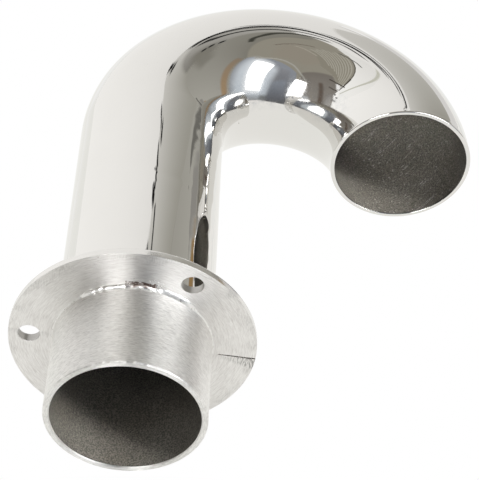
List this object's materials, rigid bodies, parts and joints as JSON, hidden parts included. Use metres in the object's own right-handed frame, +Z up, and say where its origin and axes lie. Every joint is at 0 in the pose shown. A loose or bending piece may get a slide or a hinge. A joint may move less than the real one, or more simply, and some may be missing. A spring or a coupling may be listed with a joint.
{
  "type": "deck cable gland",
  "caption": "Swan-neck cable outlet: polished tube bent over to look down, welded through a flat screw-down deck flange.",
  "frame": {"origin": "centre of the flange's underside, the face that seats on the deck", "axes": "+Z up the riser, away from the deck; +X from the riser towards the outlet"},
  "size_m": [0.1529, 0.078, 0.1975],
  "materials": {
    "polished_tube": "mirror-polished stainless steel; the spigot below the flange is brushed round and round",
    "brushed_flange": "brushed stainless steel with a buffed rim",
    "weld_steel": "bright stainless weld bead with a small brown heat stain"
  },
  "bodies": {
    "root": {"deck_flange": "brushed_flange", "riser_tube": "polished_tube", "neck_bend": "polished_tube", "under_flange_weld": "weld_steel", "neck_weld": "polished_tube"}
  },
  "joints": []
}
